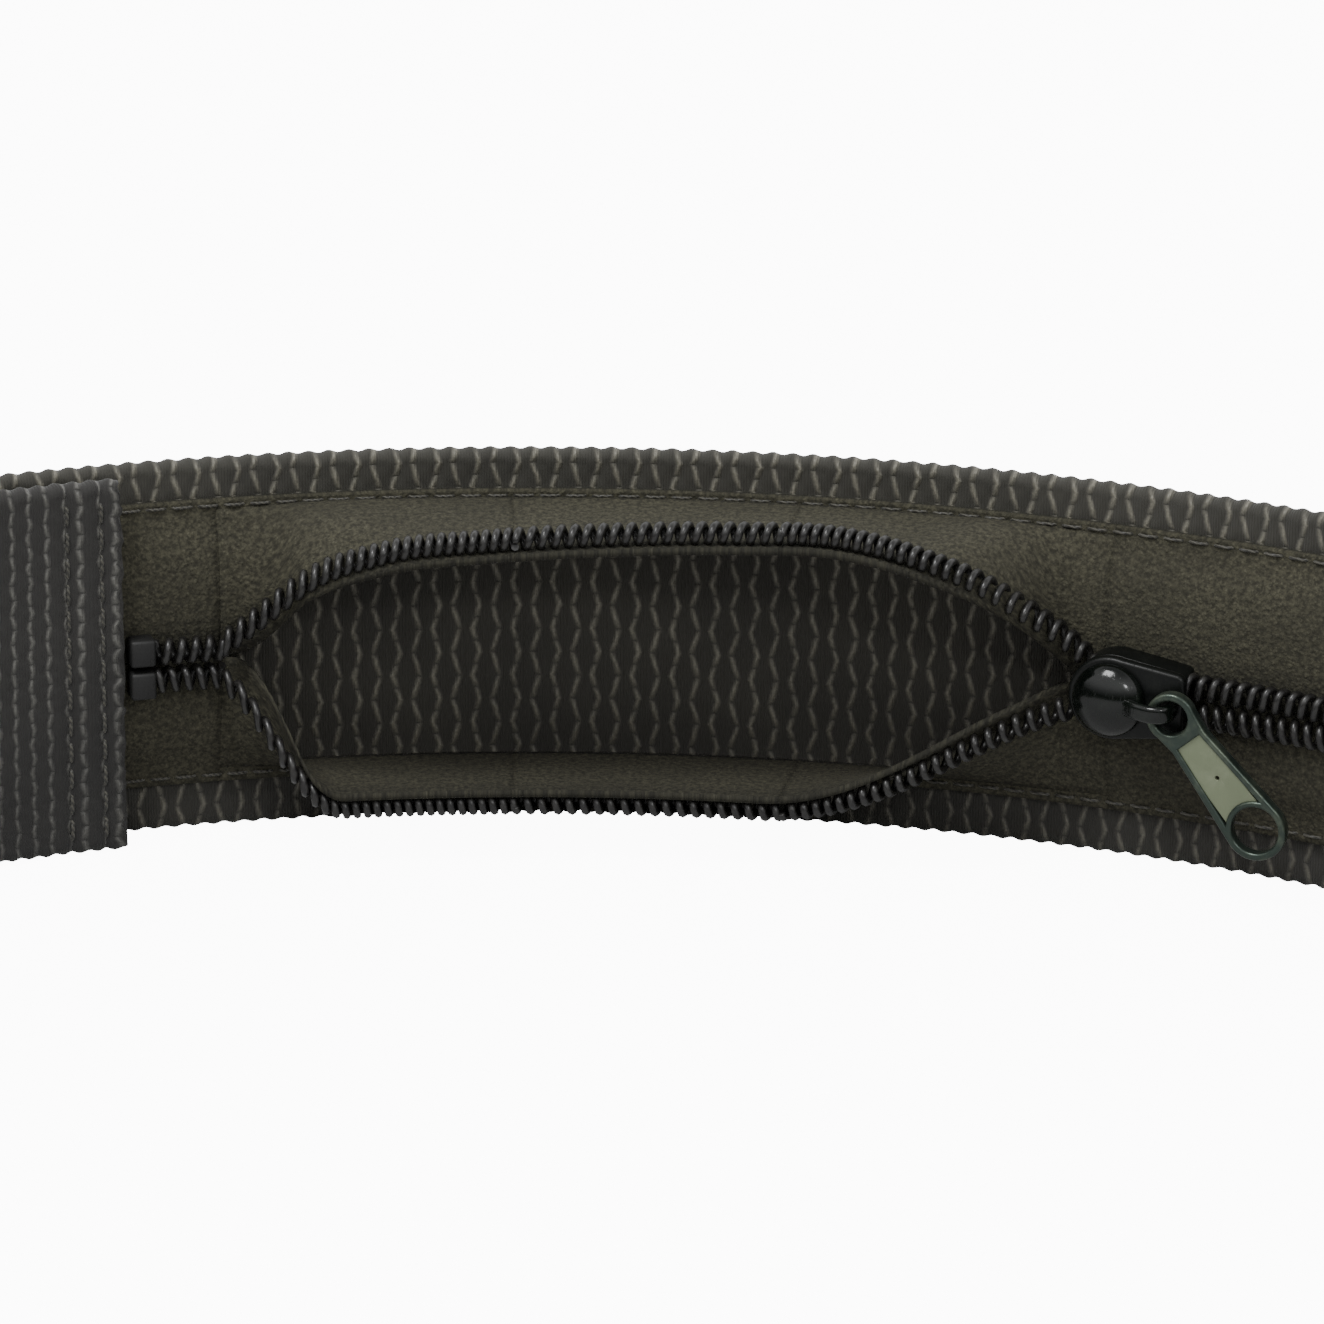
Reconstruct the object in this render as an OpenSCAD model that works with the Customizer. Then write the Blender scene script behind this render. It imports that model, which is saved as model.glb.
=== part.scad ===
// Travel money belt: a webbing strap with a hidden coil-zip pocket sewn along its inner face.
// The belt is buckled into a round loop that stands on its lower edge.
// Millimetres. The origin is on the floor at the loop's centre and +Z is up.
// Places along the loop are compass angles: 0 is +Y, 90 is +X, and they grow clockwise from above.

/* [Strap] */
// Width of the webbing
strap_w = 38; // [36:0.5:40]
// Thickness of the webbing
strap_t = 2; // [1.6:0.1:2.2]
// Radius of the buckled loop at the middle of the webbing
loop_r = 150; // [148:1:155]
// Compass angle where the sewn fold from the buckle ends over the zip
fold_edge = -17.3; // [-18:0.1:-17]
// Compass angle where the spare tail ends
tail_end = -148; // [-155:1:-130]

/* [Zip] */
// Height of the chain's centre above the strap's lower edge
chain_z = 18.6; // [18:0.1:19]
// Width of one row of coil
coil_w = 2.75; // [2.4:0.05:2.8]
// Thickness of the coil
coil_t = 2.4; // [2:0.1:2.4]
// Thickness of the zip tape
tape_t = 0.7; // [0.5:0.1:0.7]
// Compass angle of the slider's centre
slider_at = 21.8; // [21:0.1:23]
// Compass angle where the far end of the chain is stopped
chain_end = 150; // [120:1:155]

/* [Pull] */
// Length from the pull's eye to the middle of its end ring
pull_len = 13.5; // [12:0.5:15]
// Angle that the pull hangs below the chain
pull_angle = 49; // [35:1:60]
// Radius of the hole in the pull's end ring
ring_hole_r = 2.35; // [1.8:0.05:2.4]

/* [Buckle] */
// Compass angle of the buckle's middle
buckle_at = -66; // [-70:1:-64]
// Distance from the buckle's middle to each strap bar
bar_y = 36; // [35:0.5:37]
// Radius of the two strap bars
bar_r = 1.6; // [1.4:0.05:1.6]
// Height of the buckle
buckle_h = 46; // [45:0.5:48]

/* [Hidden] */
$fn = 180;

// Strap and layers that lie on it
strap_in = loop_r - strap_t / 2;
strap_out = loop_r + strap_t / 2;
rise = (buckle_h - strap_w) / 2;        // the strap is lifted this much where the buckle carries it
socket_split = -36;                     // compass angle where the lifted socket end begins
adjust_split = -112;                    // compass angle where the lifted adjusting end begins
edge = 0.05;                            // gap between sewn layers

// Zip, all radii measured from the loop's centre
tape_front = strap_in - 2.6;            // front face of the tape beside the chain
tape_back = tape_front + tape_t;
coil_back = tape_front - 0.1;
coil_front = coil_back - coil_t;
sewn_back = strap_in - 0.1;             // the tape's sewn edge lies on the strap
sewn_front = sewn_back - tape_t;
tape_top = 34.8;                        // outer edges of the two tapes
tape_low = 4.6;
fold_top = 33.3;                        // stitch lines, where the mouth's flaps turn
fold_low = 6.5;
zip_start = -20;
mouth_from = -13.5;                     // ends of the open stretch of zip
mouth_to = 21;
chain_gap = 0.05;
seam = 0.02;                            // degrees left between stretches of one tape

// Mouth flaps as they stand open
flap_from = -9;
flap_to = 14;
upper_reach = 13;
lower_reach = 10.9;
lower_droop = 2;

// Slider
slider_left = 4.6;
slider_right = 7.6;
slider_half_h = 4.2;
plate_front = coil_front - 0.4;
plate_t = 1.2;
cap_face = plate_front - plate_t;
cap_r = 3.65;
dome_r = 5.2;
dome_h = dome_r - sqrt(dome_r * dome_r - cap_r * cap_r);
leg_y = -6.4;                           // the bridge's foot, which the pull's eye goes round
pull_t = 1.4;
pull_in = cap_face - 2;                 // front face of the pull
eye_r = 2.5;
eye_hole_r = 1.7;
eye_offset = 0.6;
end_ring_r = 3.1;

// Buckle, in its own frame: x outward, y along the belt away from the socket's bar, z up
wrap_r = bar_r + 0.2 + strap_t;         // outside of the webbing that goes round a bar
bar_loop_r = 148.1;                     // radius of the bars' centres from the loop's centre
buckle_d = sqrt(bar_loop_r * bar_loop_r - bar_y * bar_y);
bar_turn = atan(bar_y / buckle_d);
socket_bar = buckle_at + bar_turn;
adjust_bar = buckle_at - bar_turn;
buckle_mid = buckle_h / 2;
arm_root_y = 6.4;
rail_h = 3.2;
run_in = bar_loop_r - wrap_r + strap_t / 2;     // middle of the inner webbing at a bar
run_out = bar_loop_r + wrap_r - strap_t / 2;    // middle of the outer webbing at a bar

// Sewn ends, tail and keeper, in compass degrees
fold_split = -28;                       // the fold is lifted from here to the buckle
cover_from = chain_end + 2;
cover_to = cover_from + 14;
hem_len = 8;
tail_r = loop_r + strap_t + 0.4;        // middle of the tail where it lies on the strap
keeper_at = -100;
keeper_half = 2.2;

function polar(angle, radius) = [radius * sin(angle), radius * cos(angle)];
function arc_deg(length) = length / tape_front * 180 / PI;
function ease(t) = let (u = min(1, max(0, t))) u * u * (3 - 2 * u);

// A flat-ended arc of rectangular section
module band(r0, r1, z0, z1, from, to) {
    rotate([0, 0, 90 - to])
        rotate_extrude(angle = to - from)
            translate([r0, z0])
                square([r1 - r0, z1 - z0]);
}

// An arc whose section is a polygon of [radius, height] points
module swept(section, from, to) {
    rotate([0, 0, 90 - to])
        rotate_extrude(angle = to - from)
            polygon(section);
}

// Webbing whose radius changes from start_r to end_r between two compass angles
module easing_ribbon(from, to, start_r, end_r, settle, z0) {
    step = (to - from) / 14;
    path = [for (i = [0:14]) let (a = from + i * step)
        [a, start_r + (end_r - start_r) * ease((a - from) / settle)]];
    outer = [for (p = path) polar(p[0], p[1] + strap_t / 2)];
    inner = [for (i = [14:-1:0]) polar(path[i][0], path[i][1] - strap_t / 2)];
    translate([0, 0, z0])
        linear_extrude(strap_w)
            polygon(concat(outer, inner));
}

// A frame at a compass angle: x outward, y against the compass, z up
module at_angle(angle) {
    rotate([0, 0, 90 - angle]) children();
}

// The buckle's own frame
module at_buckle() {
    at_angle(buckle_at) translate([buckle_d, 0, 0]) children();
}

// A plate between x0 and x1 whose outline is drawn in y and z
module plate(x0, x1) {
    rotate([90, 0, 90])
        translate([0, 0, x0])
            linear_extrude(x1 - x0)
                children();
}

// A rectangle with round corners
module soft_rect(y0, y1, z0, z1, r) {
    translate([y0 + r, z0]) square([y1 - y0 - 2 * r, z1 - z0]);
    translate([y0, z0 + r]) square([y1 - y0, z1 - z0 - 2 * r]);
    for (y = [y0 + r, y1 - r])
        for (z = [z0 + r, z1 - r])
            translate([y, z]) circle(r, $fn = 48);
}

// The half turn of webbing round a bar, on the side that side is +1 or -1 for
module bar_wrap(angle, side) {
    at_angle(angle)
        translate([bar_loop_r, 0, rise])
            linear_extrude(strap_w)
                difference() {
                    circle(wrap_r, $fn = 64);
                    circle(bar_r + 0.2, $fn = 64);
                    translate([-wrap_r - 1, side > 0 ? edge - wrap_r - 1 : -edge])
                        square([2 * wrap_r + 2, wrap_r + 1]);
                }
}

module strap_main() {
    color([0.13, 0.13, 0.14])
        band(strap_in, strap_out, 0, strap_w, socket_split, 360 + adjust_split);
}

// The lifted end that reaches the socket's bar and turns round it
module strap_socket_end() {
    color([0.13, 0.13, 0.14]) {
        easing_ribbon(socket_bar, socket_split, run_out, loop_r, 14, rise);
        bar_wrap(socket_bar, 1);
    }
}

// The return run from the socket's bar, sewn down over the end of the zip
module strap_fold() {
    color([0.15, 0.15, 0.16]) {
        band(run_in - strap_t / 2, run_in + strap_t / 2, rise, rise + strap_w, socket_bar, fold_split);
        band(run_in - strap_t / 2, run_in + strap_t / 2, 0, strap_w, fold_split, fold_edge);
    }
}

// The lifted end that comes up from the inside to the adjusting bar
module strap_adjust_end() {
    color([0.13, 0.13, 0.14]) {
        easing_ribbon(adjust_bar, adjust_split, run_in, loop_r, -13, rise);
        bar_wrap(adjust_bar, -1);
    }
}

// The spare end, doubled back along the outside
module tail_strap() {
    color([0.13, 0.13, 0.14]) {
        easing_ribbon(adjust_bar, adjust_split, run_out, tail_r, -10, rise);
        band(tail_r - strap_t / 2, tail_r + strap_t / 2, 0, strap_w, tail_end, adjust_split);
    }
}

// The tail's end is turned over and sewn
module tail_hem() {
    color([0.15, 0.15, 0.16])
        band(tail_r + strap_t / 2 + edge, tail_r + 3 * strap_t / 2 + edge, 0, strap_w,
            tail_end, tail_end + hem_len);
}

module end_cover() {
    color([0.15, 0.15, 0.16])
        band(run_in - strap_t / 2, run_in + strap_t / 2, 0, strap_w, cover_from, cover_to);
}

// One side's tape: a sewn edge all along, and the full width where the zip is closed or ended
module tape(outer, sewn, bend, inner) {
    side = outer > inner ? 1 : -1;
    hem = [[sewn_front, outer], [sewn_back, outer], [sewn_back, sewn + side * 0.3],
        [sewn_front, sewn + side * 0.3]];
    full = [[sewn_front, outer], [sewn_back, outer], [sewn_back, sewn], [tape_back, bend],
        [tape_back, inner], [tape_front, inner], [tape_front, bend - side * 0.3],
        [sewn_front, sewn - side * 0.3]];
    swept(hem, mouth_from + seam, mouth_to - seam);
    swept(full, zip_start, mouth_from);
    swept(full, mouth_to, cover_to - 1);
}

module upper_tape() {
    color([0.2, 0.2, 0.19])
        tape(tape_top, fold_top - 0.6, fold_top - 6, chain_z + chain_gap);
}

module lower_tape() {
    color([0.2, 0.2, 0.19])
        tape(tape_low, fold_low + 0.6, fold_low + 5, chain_z - chain_gap);
}

// One row of coil: the closed chain, and the short stretch beside the fold
module coil_row(side) {
    low = side > 0 ? chain_z + chain_gap : chain_z - chain_gap - coil_w;
    band(coil_front, coil_back, low, low + coil_w, mouth_to + 1, chain_end);
    band(coil_front, coil_back, low, low + coil_w, fold_edge + 1.4, mouth_from);
}

module upper_coil() {
    color([0.1, 0.1, 0.1]) coil_row(1);
}

module lower_coil() {
    color([0.1, 0.1, 0.1]) coil_row(-1);
}

// The two clips that end the chain beside the fold
module top_stops() {
    color([0.16, 0.16, 0.16])
        for (z = [chain_z + 0.3, chain_z - 0.3 - coil_w])
            band(coil_front, coil_back, z, z + coil_w, fold_edge + 0.3, fold_edge + 1.3);
}

// The clip that holds both rows together at the far end
module bottom_stop() {
    color([0.16, 0.16, 0.16])
        band(coil_front, coil_back, chain_z - coil_w, chain_z + coil_w, chain_end + 0.05, chain_end + 1.2);
}

// A row of stitches shown as one low ridge
module stitch_row(z) {
    band(sewn_front - 0.2, sewn_front - 0.02, z - 0.25, z + 0.25, fold_edge + 0.3, cover_from - 0.3);
}

module upper_stitching() {
    color([0.08, 0.08, 0.08]) stitch_row(tape_top - 0.8);
}

module lower_stitching() {
    color([0.08, 0.08, 0.08]) stitch_row(tape_low + 0.8);
}

// Upright rows of stitches through a sewn end
module end_rows(angles, radius) {
    for (a = angles)
        band(radius, radius + 0.18, 3, strap_w - 3, a - 0.12, a + 0.12);
}

module fold_stitching() {
    color([0.08, 0.08, 0.08])
        end_rows([fold_edge - 0.7, fold_edge - 2.1], run_in - strap_t / 2 - 0.2);
}

module cover_stitching() {
    color([0.08, 0.08, 0.08])
        end_rows([cover_from + 0.8, cover_from + 2.2, cover_to - 0.8], run_in - strap_t / 2 - 0.2);
}

module hem_stitching() {
    color([0.08, 0.08, 0.08])
        end_rows([tail_end + hem_len - 0.8, tail_end + hem_len - 2], tail_r + 3 * strap_t / 2 + 2 * edge);
}

// The open stretch of tape stands out from the strap like a shelf
module mouth_upper_tape() {
    color([0.2, 0.2, 0.19])
        band(strap_in - 0.9 - upper_reach, strap_in - 0.9, fold_top - 0.7, fold_top, flap_from, flap_to);
}

module mouth_upper_coil() {
    r = strap_in - 0.9 - upper_reach;
    color([0.1, 0.1, 0.1])
        band(r, r + coil_w, fold_top + 0.05, fold_top + 0.05 + coil_t, flap_from, flap_to);
}

module mouth_lower_tape() {
    r = strap_in - 0.9;
    color([0.2, 0.2, 0.19])
        swept([[r, fold_low], [r, fold_low - 0.7], [r - lower_reach, fold_low - 0.7 - lower_droop],
            [r - lower_reach, fold_low - lower_droop]], flap_from, flap_to);
}

module mouth_lower_coil() {
    r = strap_in - 0.9 - lower_reach;
    top = fold_low - 0.75 - lower_droop;
    color([0.1, 0.1, 0.1])
        band(r, r + coil_w, top - coil_t, top, flap_from, flap_to);
}

// Two plates and the post between them, with flanges that keep the coils in
module slider_body() {
    from = slider_at - arc_deg(slider_left);
    to = slider_at + arc_deg(slider_right);
    low = chain_z - slider_half_h;
    high = chain_z + slider_half_h;
    color([0.09, 0.1, 0.1]) {
        band(cap_face, plate_front, low, high, from, to);
        band(tape_back + 0.3, tape_back + 1.2, low, high, from, to);
        for (z = [low, high - 1])
            band(plate_front - 0.1, tape_front - 0.35, z, z + 1, from, to);
        band(plate_front - 0.1, tape_back + 0.4, chain_z - 0.8, chain_z + 0.8, from + 0.15, from + 0.7);
    }
}

// The domed cover over the lock, with the bridge that holds the pull
module slider_cap() {
    color([0.09, 0.1, 0.1])
        at_angle(slider_at) {
            difference() {
                translate([cap_face - 0.08, 0, chain_z])
                    rotate([0, -90, 0]) {
                        cylinder(h = 1.1, r = cap_r);
                        translate([0, 0, 1.1])
                            intersection() {
                                translate([0, 0, dome_h - dome_r]) sphere(dome_r);
                                cylinder(h = dome_h + 1, r = cap_r + 1);
                            }
                    }
                translate([cap_face + 0.1, 0, chain_z])
                    rotate([0, -90, 0])
                        cylinder(h = 1.1, r = 2.5);
            }
            translate([cap_face - 3.3, leg_y - 0.6, chain_z - 1]) cube([1.2, 0.6 - leg_y, 2]);
            translate([cap_face - 3.3, leg_y - 0.6, chain_z - 0.7]) cube([3.1, 1.2, 1.4]);
        }
}

// The leaf spring under the cap that presses the lock into the coil
module lock_spring() {
    color([0.7, 0.7, 0.7])
        at_angle(slider_at)
            translate([cap_face - 0.75, -2, chain_z - 0.5])
                cube([0.3, 4, 1]);
}

// The pull: an eye round the bridge's foot, a tapered tab with a sunk panel, and a ring end
module pull_tab() {
    r = end_ring_r;
    color([0.25, 0.28, 0.26])
        at_angle(slider_at)
            translate([pull_in, leg_y, chain_z])
                rotate([180 + pull_angle, 0, 0])
                    difference() {
                        union() {
                            plate(0, pull_t) translate([eye_offset, 0]) circle(eye_r);
                            plate(0, pull_t) translate([eye_offset + pull_len, 0]) circle(r);
                            plate(0, pull_t)
                                polygon([[eye_offset + 1, -1.9], [eye_offset + 1, 1.9],
                                    [eye_offset + pull_len, r - 0.1], [eye_offset + pull_len, 0.1 - r]]);
                        }
                        for (x = [-1, pull_t - 0.35])
                            plate(x, x + 1.35)
                                polygon([[3.2, -1.3], [3.2, 1.3], [pull_len - 2.4, 2.1], [pull_len - 2.4, -2.1]]);
                        plate(-1, pull_t + 1) translate([eye_offset, 0]) circle(eye_hole_r);
                        plate(-1, pull_t + 1) translate([eye_offset + pull_len, 0]) circle(ring_hole_r);
                    }
}

// The socket: a hollow shell with side windows, and a frame with the sewn end's bar
module buckle_socket() {
    color([0.1, 0.1, 0.1])
        at_buckle() {
            difference() {
                plate(-5.2, 5.2) soft_rect(-22, 6, 0, buckle_h, 3);
                translate([-3.2, -18, 5.2]) cube([6.4, 30, buckle_h - 10.4]);
                translate([-3.2, -15, -1]) cube([6.4, 11, buckle_h + 2]);
                for (x = [-6, 4.7])
                    plate(x, x + 1.3) soft_rect(-18, -7, buckle_mid - 9, buckle_mid + 9, 2);
            }
            socket_frame(-1, -21.5);
        }
}

// Two rails and a round bar, at the end of the buckle that side is +1 or -1 for
module socket_frame(side, from_y) {
    y0 = side > 0 ? from_y : -bar_y - 2.2;
    y1 = side > 0 ? bar_y + 2.2 : from_y;
    for (z = [0, buckle_h - rail_h])
        plate(-2.4, 2.4) soft_rect(y0, y1, z, z + rail_h, 1.2);
    translate([0, side * bar_y, rail_h / 2]) cylinder(h = buckle_h - rail_h, r = bar_r);
}

// The plug: a block between the arms' roots, its guide tongue, and the adjusting bar
module buckle_plug() {
    color([0.1, 0.1, 0.1])
        at_buckle() {
            plate(-4.6, 4.6) soft_rect(arm_root_y + 0.3, 21, 0, buckle_h, 3);
            plate(-1.6, 1.6) soft_rect(-13, arm_root_y + 2, buckle_mid - 3, buckle_mid + 3, 1.5);
            socket_frame(1, 20.5);
        }
}

// One springy arm, drawn for the upper side of the buckle's middle
module arm() {
    plate(-2.9, 2.9)
        translate([0, buckle_mid])
            polygon([[arm_root_y, 6.5], [arm_root_y, 10], [-4.6, 12.5], [-4.6, 21.6], [-8, 22.6],
                [-12, 21.6], [-14.4, 17.2], [-14.4, 11], [-9, 7.2]]);
}

module upper_arm() {
    color([0.11, 0.11, 0.11])
        at_buckle() arm();
}

module lower_arm() {
    color([0.11, 0.11, 0.11])
        at_buckle()
            translate([0, 0, buckle_h])
                mirror([0, 0, 1])
                    arm();
}

// The loop that holds the spare tail against the strap
module keeper_loop() {
    color([0.12, 0.12, 0.12])
        rotate([0, 0, 90 - keeper_at - keeper_half])
            rotate_extrude(angle = 2 * keeper_half)
                difference() {
                    translate([strap_in - 1.6, rise - 1.8])
                        square([2 * strap_t + 3.6, strap_w + 3.6]);
                    translate([strap_in - 0.6, rise - 0.8])
                        square([2 * strap_t + 1.6, strap_w + 1.6]);
                }
}

strap_main();
strap_socket_end();
strap_fold();
strap_adjust_end();
tail_strap();
tail_hem();
end_cover();
upper_tape();
lower_tape();
upper_coil();
lower_coil();
top_stops();
bottom_stop();
upper_stitching();
lower_stitching();
fold_stitching();
cover_stitching();
hem_stitching();
mouth_upper_tape();
mouth_upper_coil();
mouth_lower_tape();
mouth_lower_coil();
slider_body();
slider_cap();
lock_spring();
pull_tab();
buckle_socket();
buckle_plug();
upper_arm();
lower_arm();
keeper_loop();
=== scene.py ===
import math

import bpy
import numpy as np
from mathutils import Matrix, Vector


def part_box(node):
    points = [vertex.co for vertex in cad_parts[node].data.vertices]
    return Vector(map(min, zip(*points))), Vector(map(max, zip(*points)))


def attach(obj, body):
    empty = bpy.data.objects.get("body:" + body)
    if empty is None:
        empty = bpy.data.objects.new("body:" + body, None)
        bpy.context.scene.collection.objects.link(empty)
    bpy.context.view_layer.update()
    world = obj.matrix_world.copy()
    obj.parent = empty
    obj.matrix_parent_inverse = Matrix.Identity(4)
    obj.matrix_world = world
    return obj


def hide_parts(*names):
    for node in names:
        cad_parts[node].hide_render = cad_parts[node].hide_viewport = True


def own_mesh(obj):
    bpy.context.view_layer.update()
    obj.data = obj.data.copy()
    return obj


# A webbing money belt with a coil zip along its inner face, buckled into a loop on the floor.
# Metres. Places along the loop are compass angles in degrees: 0 is +Y, 90 is +X.

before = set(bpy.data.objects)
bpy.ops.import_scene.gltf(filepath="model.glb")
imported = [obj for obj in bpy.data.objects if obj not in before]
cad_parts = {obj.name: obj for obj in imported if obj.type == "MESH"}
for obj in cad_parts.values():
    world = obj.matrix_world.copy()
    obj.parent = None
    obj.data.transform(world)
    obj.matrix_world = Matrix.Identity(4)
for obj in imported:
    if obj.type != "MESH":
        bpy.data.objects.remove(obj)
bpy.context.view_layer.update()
bpy.ops.object.select_all(action="DESELECT")

# ---------------------------------------------------------------- sizes
MM = 0.001
LOOP_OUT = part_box("strap_main")[1].x
STRAP_T = 2 * MM
LOOP = LOOP_OUT - STRAP_T / 2
LOOP_IN = LOOP_OUT - STRAP_T
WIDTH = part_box("strap_main")[1].z
BUCKLE_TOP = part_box("buckle_socket")[1].z
RISE = (BUCKLE_TOP - WIDTH) / 2         # the buckle lifts the webbing by this much

SOCKET_BAR = -51.93                     # compass angles of the two bars
ADJUST_BAR = 279.93
SOCKET_SPLIT = -36.0                    # where the webbing's stretches meet
VIEW_SPLIT = 30.0
ADJUST_SPLIT = 248.0
FOLD_EDGE = -17.3
FOLD_ROWS = (FOLD_EDGE - 0.75, FOLD_EDGE - 2.1)     # its two rows of stitches
TAIL_END = 212.0
COVER_FROM = 152.0
COVER_TO = 166.0
BAR_LOOP = 148.1 * MM                   # radius of the bars' centres from the loop's centre
BAR_TURN = 2.8 * MM                     # radius of the webbing's middle round a bar
RUN_IN = BAR_LOOP - BAR_TURN
RUN_OUT = BAR_LOOP + BAR_TURN
TAIL = LOOP + STRAP_T + 0.4 * MM

CHAIN = 18.6 * MM                       # height of the chain's middle
CHAIN_R = 145.1 * MM                    # middle of the closed coils
TAPE_R = 146.75 * MM                    # middle of the tape beside the chain
HEM_R = 148.5 * MM                      # middle of the tape where it is sewn down
TAPE_T = 0.7 * MM
SLACK_SHARE = 0.6                       # how much of the tape's slack shows as a bulge
UPPER_EDGE = 34.2 * MM
LOWER_EDGE = 5.0 * MM
UPPER_FOLD = 33.2 * MM
LOWER_FOLD = 6.5 * MM
UPPER_SEAM = 33.65 * MM
LOWER_SEAM = 5.75 * MM
COIL_HALF_W = 1.4 * MM
COIL_HALF_T = 1.18 * MM
WIRE = 0.41 * MM                        # radius of the coil's wire
WIRE_SIDES = 7
TURN_STEPS = 18
ZIP_TRAVEL = 33.2                       # degrees that the slider closes
PITCH = ZIP_TRAVEL / 62                 # one turn of coil, in degrees
SLIDER_AT = 21.8
ZIP_START = -20.0
MOUTH_FROM = -13.3
MOUTH_TO = 21.1
CHAIN_END = 150.0
CUTS = (MOUTH_FROM, -2.0, 9.0, MOUTH_TO)    # the flaps are built in three stretches
MATCH = 3.0                             # degrees over which a flap takes the closed tape's shape
FLATTEN_TO = 148.9 * MM                 # radius of an anchor point worked out for each flap stretch
NOSE_TURN = 1.85                        # degrees from the slider's middle to its open end
OVERLAP = 0.5                           # degrees that the closing tape runs on past the slider's travel

RIB = 1.98 * MM                         # pitch of the webbing's ribs along the belt
FLOAT = 2.45 * MM                       # length of one raised thread across the belt
FOLD_RIB = 1.74 * MM                    # the sewn ends are of a closer webbing
FOLD_FLOAT = 1.5 * MM
LEAN = 0.17                             # how far the raised threads zigzag, in ribs
RELIEF = 0.3 * MM
SECTION = 0.176                         # degrees between the webbing's sections, away from the pocket
BAR_STEPS = 18


# ---------------------------------------------------------------- shapes
def ease(t):
    t = np.clip(t, 0.0, 1.0)
    return t * t * (3 - 2 * t)


def polar(angle, radius, height):
    turn = np.radians(angle)
    return np.stack(np.broadcast_arrays(radius * np.sin(turn), radius * np.cos(turn), height), -1)


def unit(vectors):
    return vectors / np.maximum(np.linalg.norm(vectors, axis=-1, keepdims=True), 1e-12)


def steps(start, end, step):
    return np.linspace(start, end, max(2, int(round(abs(end - start) / step)) + 1))


def tube_faces(rings):
    """Quads between neighbouring rings and a cap on each end, all facing outward."""
    n, m = rings.shape[:2]
    row = np.arange(n - 1)[:, None] * m
    here = np.arange(m)[None, :]
    after = (here + 1) % m
    quads = np.stack([row + here, row + after, row + m + after, row + m + here], -1).reshape(-1, 4)
    points = rings.reshape(-1, 3)
    a, b, c, d = (points[quads[:, i]] - points.mean(0) for i in range(4))
    volume = (a * np.cross(b, c)).sum() + (a * np.cross(c, d)).sum()
    caps = [list(range(m))[::-1], list(range((n - 1) * m, n * m))]
    if volume < 0:
        quads = quads[:, ::-1]
        caps = [cap[::-1] for cap in caps]
    return quads.tolist() + caps


def skin(name, tubes, material):
    """One object made of closed tubes. A tube is its rings of points and the cloth's own measures."""
    points, faces, measures = [], [], []
    start = 0
    for rings, measure in tubes:
        faces += [[i + start for i in face] for face in tube_faces(rings)]
        points.append(rings.reshape(-1, 3))
        measures.append(np.broadcast_to(measure, rings.shape[:2] + (2,)).reshape(-1, 2))
        start += len(points[-1])
    mesh = bpy.data.meshes.new(name)
    mesh.from_pydata(np.concatenate(points), [], faces)
    corner = np.empty(len(mesh.loops), int)
    mesh.loops.foreach_get("vertex_index", corner)
    cloth = mesh.uv_layers.new(name="cloth")
    cloth.data.foreach_set("uv", np.concatenate(measures)[corner].ravel())
    mesh.polygons.foreach_set("use_smooth", [len(face) == 4 for face in faces])
    mesh.materials.append(material)
    piece = bpy.data.objects.new(name, mesh)
    bpy.context.scene.collection.objects.link(piece)
    return piece


def raised_threads(along, across, rib=RIB, reach=FLOAT):
    """Height of the webbing's plump threads, 0 in the gaps, with a thin zigzag thread between them."""
    place_along = along / rib
    odd = np.mod(np.floor(place_along), 2)
    place = across / reach
    zigzag = (2 * np.abs(np.mod(place, 2) - 1) - 1) * (1 - 2 * odd)
    off = np.abs(np.mod(place_along, 1) - 0.5 - LEAN * zigzag)
    plump = np.sqrt(np.clip(1 - ((0.5 - off) / 0.44) ** 2, 0, 1))
    swell = np.sqrt(np.abs(np.sin(np.pi * (place + 0.5 * odd))))
    return np.maximum(plump * (0.45 + 0.55 * swell), 0.5 * np.exp(-(off / 0.12) ** 2))


def across_places(fine_low, fine_high, fine, coarse):
    """Places across the webbing, close together near both edges."""
    rim = np.array([0, 0.12, 0.35, 0.8]) * MM
    low = steps(1.2 * MM, fine_low, fine)
    middle = steps(fine_low, fine_high, coarse)[1:-1]
    high = steps(fine_high, WIDTH - 1.2 * MM, fine)
    return np.concatenate([rim, low, middle, high, WIDTH - rim[::-1]])


def webbing(plan, along, low, front_places, back_places, rib=RIB, reach=FLOAT):
    """A closed band of webbing on edge, along a line in plan, with its woven relief on both faces."""
    heading = unit(np.gradient(plan, axis=0))
    inward = np.stack([heading[:, 1], -heading[:, 0]], -1)
    across = np.concatenate([front_places, back_places[-2:0:-1]])
    side = np.concatenate([np.ones(len(front_places)), -np.ones(len(back_places) - 2)])
    edge = np.minimum(across, WIDTH - across)
    roundness = np.sqrt(1 - (1 - np.clip(edge / (0.9 * MM), 0, 1)) ** 2)
    s = along[:, None]
    threads = raised_threads(s, across[None, :], rib, reach)
    offset = roundness * (STRAP_T / 2 - RELIEF / 2 + RELIEF * threads)
    scallop = 0.14 * MM * np.sin(2 * np.pi * s / rib) * (1 - np.clip(edge / (1.2 * MM), 0, 1))
    height = low[:, None] + across + np.where(across > WIDTH / 2, 1, -1) * scallop
    ground = plan[:, None, :] + inward[:, None, :] * (side * offset)[..., None]
    rings = np.concatenate([ground, np.broadcast_to(height, offset.shape)[..., None]], -1)
    measure = np.stack(np.broadcast_arrays(s, across), -1)
    return rings, measure


def lift(angle):
    """Height of the webbing's lower edge: it climbs to the buckle from both sides."""
    return RISE * (ease((-24 - angle) / 26) + ease((angle - 216) / 32))


def arc_plan(angles, radius):
    return polar(angles, radius, 0.0)[:, :2]


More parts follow.
